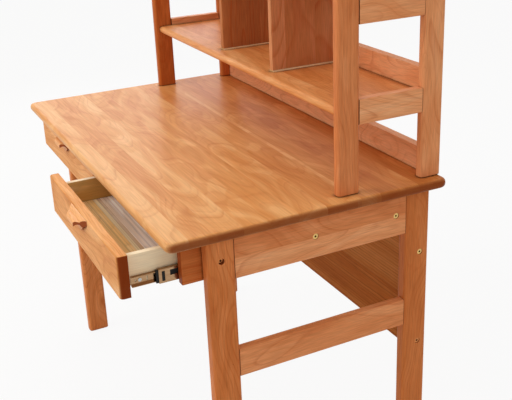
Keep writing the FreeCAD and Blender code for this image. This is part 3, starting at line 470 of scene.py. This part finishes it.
finishes = {
    # the desktop's painted shade reaches 8 mm from its corners, a dark line under the posts' feet
    "top": boardWood(
        "oiledCherryTop", cherry, "xyz", rows=[backEdge - joint for joint in topJoints], level=715.0,
        seed=3.0, rowTones=topTones, tones=["#e8b075", "#dc9a5c", "#cf8647", "#bd7035"], toneShare=0.12,
        endColour="#80350d", endShare=0.92, endLeast=0.8, ringShare=0.3, swellLong=270.0, swellWide=110.0,
        cloudLong=280.0, cloudWide=60.0, cloudShare=0.24, cloudDetail=1.0, bandShare=0.4,
        sapLong=230.0, sapWide=70.0, sapShare=0.18, sapEdge=(0.54, 0.58),
        streakLong=80.0, streakWide=2.6, streakShare=0.2,
        cornerReach=0.008, cornerShade=0.2, cornerOpen=(0.35, 0.95), roughness=(0.32, 0.45), sheen=0.07),
    "leg": boardWood(
        "oiledCherryLeg", cherry, "zyx", rows=[-400, 0, 400], level=504.0, seed=5.0,
        **dict(frameTone, ringShare=0.5, ringSpacing=6.0)),
    "rail": boardWood(
        "oiledCherryRail", cherry, "yzx", rows=[300, 500, 647, 760], level=500.0, seed=2.0,
        rowTones=[0.6, 0.4, 0.65], toneShare=0.2, **paleTone),
    # painted shade: the panel's rows darken towards its bottom, as shade under the desk does
    "panel": boardWood(
        "oiledCherryPanel", cherry, "xzy", rows=[320, 378, 443, 512, 590], level=300.0, seed=8.0,
        rowTones=[0.95, 0.65, 0.35, 0.2], ringShare=0.5, ringSpacing=7.0, swell=14.0, logTilt=0.03,
        pithSide=120.0, pithDepth=8.0, pithSpread=10.0, cloudShare=0.14, sapShare=0.0, **panelTone),
    "case": boardWood(
        "oiledCherryCase", cherry, "yzx", rows=[590, 700], level=470.0, seed=4.0, throughStep=60.0,
        rowTones=[1.0], toneShare=0.2, logTilt=0.03, **dict(frameTone, swell=16.0, ringShare=0.65)),
    "caseCross": boardWood(
        "oiledCherryCaseCross", cherry, "xyz", rows=[-300, 0, 300], level=690.0, seed=6.0, **frameTone),
    "front": boardWood(
        "oiledCherryFront", cherry, "xzy", rows=[600, 700], level=300.0, seed=7.0, alongStep=endless,
        rowTones=[0.55], tones=["#f0b67c", "#e6a364", "#d88f4f", "#c67a3c"], toneShare=0.2,
        endColour="#7e2c05", endTurn=(0.3, 0.8), ringShare=0.4, bandShare=0.5, sheen=0.03),
    # the pull's end colour reaches faces turned only a little towards its ends: partly end grain, partly
    # painted shade on its sloped end faces
    "pull": boardWood(
        "oiledCherryPull", cherry, "xzy", rows=[640, 700], level=300.0, seed=9.0, alongStep=endless,
        rowTones=[0.15], endTurn=(0.1, 0.5), sheen=0.12),
    "post": boardWood(
        "oiledCherryPost", cherry, "zyx", rows=[0, 220, 400], level=490.0, seed=11.0,
        rowTones=[0.6, 0.3], **paleTone),
    # painted shade: the left posts get darker tones than the others, for the shade they stand in
    "leftPostPaintedShade": boardWood(
        "oiledCherryLeftPostPaintedShade", cherry, "zyx", rows=[0, 220, 400], level=490.0, seed=22.0,
        rowTones=[0.9, 0.7], toneShare=0.2, **frameTone),
    "hutchRail": boardWood(
        "oiledCherryHutchRail", cherry, "yzx", rows=[840, 960, 1160], level=490.0, seed=12.0,
        rowTones=[0.2, 0.2], **paleTone),
    "backRail": boardWood(
        "oiledCherryBackRail", cherry, "xzy", rows=[580, 700, 820, 1000, 1160], level=340.0, seed=13.0,
        rowTones=[0.5, 0.15, 0.2, 0.3], **dict(paleTone, sheen=0.08)),
    # the shelf's painted shade reaches 18 mm from its corners, the shadow at the feet of the dividers and the
    # stop
    "shelf": boardWood(
        "oiledCherryShelf", cherry, "xyz", rows=[backEdge - joint for joint in shelfJoints], level=880.0,
        seed=14.0, throughStep=200.0, cornerReach=0.018, cornerShade=0.1, cornerOpen=(0.45, 0.95),
        sheen=0.16),
    "divider": boardWood(
        "oiledCherryDivider", cherry, "zyx", rows=[100, 182, 256, 350], level=120.0, seed=15.0,
        throughStep=200.0, rowTones=[0.3, 0.6, 0.5], **dividerTone),
    # painted shade: the left divider gets darker tones than the right, for the shadow it stands in
    "leftDividerPaintedShade": boardWood(
        "oiledCherryLeftDividerPaintedShade", cherry, "zyx", rows=[100, 182, 256, 350], level=120.0, seed=23.0,
        rowTones=[0.9, 1.0, 0.95], toneShare=0.1, **dividerTone),
    "boxSide": boardWood(
        "paulowniaBoxSide", paleBoard, "yzx", rows=[600, 700], level=400.0, seed=16.0, throughStep=100.0,
        ringShare=0.1, streakShare=0.14),
    # painted shade and bounced light: the inner sides get darker golden tones than the same boards outside,
    # for the shade and the orange light inside the drawer
    "boxInnerPaintedShade": boardWood(  # the narrow row is the pale top edge
        "paulowniaBoxInnerPaintedShade", paleBoard, "yzx", rows=[600, 676.4, 700], level=400.0, seed=21.0,
        throughStep=100.0, rowTones=[0.62, 0.0], tones=["#fbe6c4", "#deb068", "#d3a055", "#c69046"],
        toneShare=0.3),
    "boxBack": boardWood(
        "paulowniaBoxBack", paleBoard, "xzy", rows=[600, 700], level=100.0, seed=17.0, alongStep=endless),
    "bottom": boardWood(
        "mixedStaveBottom", greyStaves, "xyz", rows=bottomJoints, level=625.0, seed=18.0, alongStep=endless,
        rowTones=bottomTones),
    "strip": boardWood(
        "bareBeechStrip", bareBeech, "yzx", rows=[880, 1120], level=100.0, seed=19.0,
        tones=["#ffe9bd", "#ffe2b2", "#f8d9a6", "#f0ce98"]),
    "peg": boardWood("bareBeechPeg", bareBeech, "yzx", rows=[0, 1200], level=100.0, seed=20.0),
    # the slides' brown tint is a painted reflection of the wood they face
    "slide": zincSteel(
        "brightZincSteel", ["#93704f", "#aa8460", "#c0a07e"], roughness=(0.12, 0.22), grain=(0.6, 40.0, 0.6)),
    "screw": zincSteel(
        "zincScrewSteel", ["#a8a6a0", "#c2c0ba"], roughness=(0.25, 0.4), grain=(1.5, 1.5, 1.5)),
    "bolt": zincSteel(
        "yellowZincSteel", ["#c09a56", "#dcbb72", "#d8aa6e", "#c8b26a"], roughness=(0.24, 0.38),
        grain=(2.5, 2.5, 2.5), paintedShade=boltPaintedShade),
    "plastic": mouldedAcetal("blackAcetal"),
}
print("materials made:", len(finishes))

# which finish each node wears: the first whose words are in its name
wearing = [
    ("desktop", "top"), ("leg_", "leg"), ("apron_", "rail"), ("stretcher_", "rail"),
    ("modesty_panel", "panel"), ("case_side", "case"), ("case_divider", "case"), ("case_back", "backRail"),
    ("case_rail", "caseCross"), ("drawer_front", "front"), ("drawer_pull", "pull"),
    ("inner_side", "boxInnerPaintedShade"), ("outer_side", "boxSide"), ("drawer_back", "boxBack"),
    ("drawer_bottom", "bottom"), ("post_front_left", "leftPostPaintedShade"), ("post_back_left", "leftPostPaintedShade"),
    ("post_", "post"), ("hutch_rail", "hutchRail"), ("hutch_base_rail", "backRail"),
    ("shelf_stop", "backRail"), ("shelf_", "shelf"), ("divider_strips", "strip"),
    ("divider_left", "leftDividerPaintedShade"), ("divider_", "divider"), ("dowels", "peg"),
    ("slide_cages", "plastic"), ("slide_screws", "screw"), ("slide_", "slide"), ("drawer_rails", "slide"),
    ("bolts", "bolt"), ("_nuts", "bolt"), ("_screws", "screw"),
]
for name, node in nodes.items():
    worn = next(finish for words, finish in wearing if words in name)
    node.data.materials.clear()
    node.data.materials.append(finishes[worn])
print("finishes on:", len(nodes))


# 1 for the rays that meet white surroundings: the camera's, and those through a surface or mirrored by it
def whiteRays(tree):
    ray = addNode(tree, "LightPath").outputs
    through = addNode(
        tree, "Math", {0: ray["Is Camera Ray"], 1: ray["Is Transmission Ray"]}, operation="MAXIMUM")
    return addNode(
        tree, "Math", {0: through.outputs[0], 1: ray["Is Glossy Ray"]}, operation="MAXIMUM").outputs[0]


# a pale painted floor, matt, that the camera sees almost white, with the desk's shadow on it
floorLook = {"size": 30.0, "colour": "#d2cfcb", "whiteShare": 0.9}
bpy.ops.object.select_all(action="DESELECT")
bpy.ops.mesh.primitive_plane_add(size=floorLook["size"])
floorPlane = bpy.context.object
floorPlane.name = "floor"
floorPaint, tree = newTree("palePaintedFloor")
matt = addNode(tree, "BsdfDiffuse", {"Color": hexColour(floorLook["colour"])})
glow = addNode(tree, "Emission", {"Color": white, "Strength": 1.0})
share = addNode(tree, "Math", {0: whiteRays(tree), 1: floorLook["whiteShare"]}, operation="MULTIPLY")
mixed = addNode(tree, "MixShader", {0: share.outputs[0], 1: matt.outputs[0], 2: glow.outputs[0]})
closeTree(tree, mixed)
floorPlane.data.materials.append(floorPaint)

# studio: white surroundings that light the desk mostly from overhead
skyLook = {"horizon": 0.2, "overhead": 1.05, "seen": 1.0}  # seen is what the camera gets, plain white
scene = bpy.context.scene
world = bpy.data.worlds.new("whiteStudio")
scene.world = world
world.use_nodes = True
tree = world.node_tree
tree.nodes.clear()
heading = addNode(tree, "TexCoord").outputs["Generated"]
rise = addNode(tree, "SeparateXYZ", {0: heading}).outputs["Z"]
roof = addNode(
    tree, "MapRange", {"Value": rise, "To Min": skyLook["horizon"], "To Max": skyLook["overhead"]})
strength = addNode(
    tree, "Mix", {"Factor": whiteRays(tree), numberA: roof.outputs[0], numberB: skyLook["seen"]},
    data_type="FLOAT")
sky = addNode(tree, "Background", {"Color": white, "Strength": strength.outputs[0]})
addNode(tree, "OutputWorld", {"Surface": sky.outputs[0]})

# soft boxes: the strongest high in front, one on the left that also mirrors in the desktop, a faint one right
softBoxes = {
    "leftSoftBox": {
        "place": (-2.9, 0.55, 1.85), "aim": (0.0, 0.0, 0.75), "size": 1.8, "watts": 18.0, "mirrored": True},
    "rightSoftBox": {
        "place": (3.3, -0.4, 1.5), "aim": (0.0, 0.0, 0.6), "size": 2.4, "watts": 10.0, "mirrored": False},
    "frontSoftBox": {
        "place": (-0.6, -2.7, 2.7), "aim": (0.0, 0.0, 0.7), "size": 2.0, "watts": 52.0, "mirrored": False},
}
for name, box in softBoxes.items():
    lamp = bpy.data.lights.new(name, "AREA")
    lamp.size = box["size"]
    lamp.energy = box["watts"]
    stand = bpy.data.objects.new(name, lamp)
    scene.collection.objects.link(stand)
    stand.visible_glossy = box["mirrored"]
    stand.location = box["place"]
    stand.rotation_euler = (Vector(box["aim"]) - stand.location).to_track_quat("-Z", "Y").to_euler()

# camera where the photograph was taken, worked out from its straight edges
cameraLook = {
    "place": (1.81385, -0.69242, 1.36286),  # metres
    "azimuth": 64.2405,      # degrees, as the elevation and the roll are
    "elevation": 21.2285,
    "roll": -2.3681,
    "focal": 875.903,        # pixels, as the middle and the image are
    "middle": (260.118, 176.840),
    "image": (512, 400),
    "sensor": 36.0,          # mm
}
az, el, roll = (math.radians(cameraLook[key]) for key in ("azimuth", "elevation", "roll"))
backward = Vector((math.sin(az) * math.cos(el), -math.cos(az) * math.cos(el), math.sin(el)))
level = Vector((math.cos(az), math.sin(az), 0.0))
upward = backward.cross(level)
sideways = math.cos(roll) * level + math.sin(roll) * upward
overhead = -math.sin(roll) * level + math.cos(roll) * upward
eye = bpy.data.cameras.new("photoCamera")
width, height = cameraLook["image"]
eye.sensor_width = cameraLook["sensor"]
eye.lens = cameraLook["focal"] * cameraLook["sensor"] / width
eye.shift_x = (width / 2 - cameraLook["middle"][0]) / width
eye.shift_y = (cameraLook["middle"][1] - height / 2) / width
camera = bpy.data.objects.new("photoCamera", eye)
scene.collection.objects.link(camera)
turn = Matrix((sideways, overhead, backward)).transposed().to_4x4()
camera.matrix_world = Matrix.Translation(cameraLook["place"]) @ turn
scene.camera = camera
scene.view_settings.view_transform = "Standard"
print("studio set")
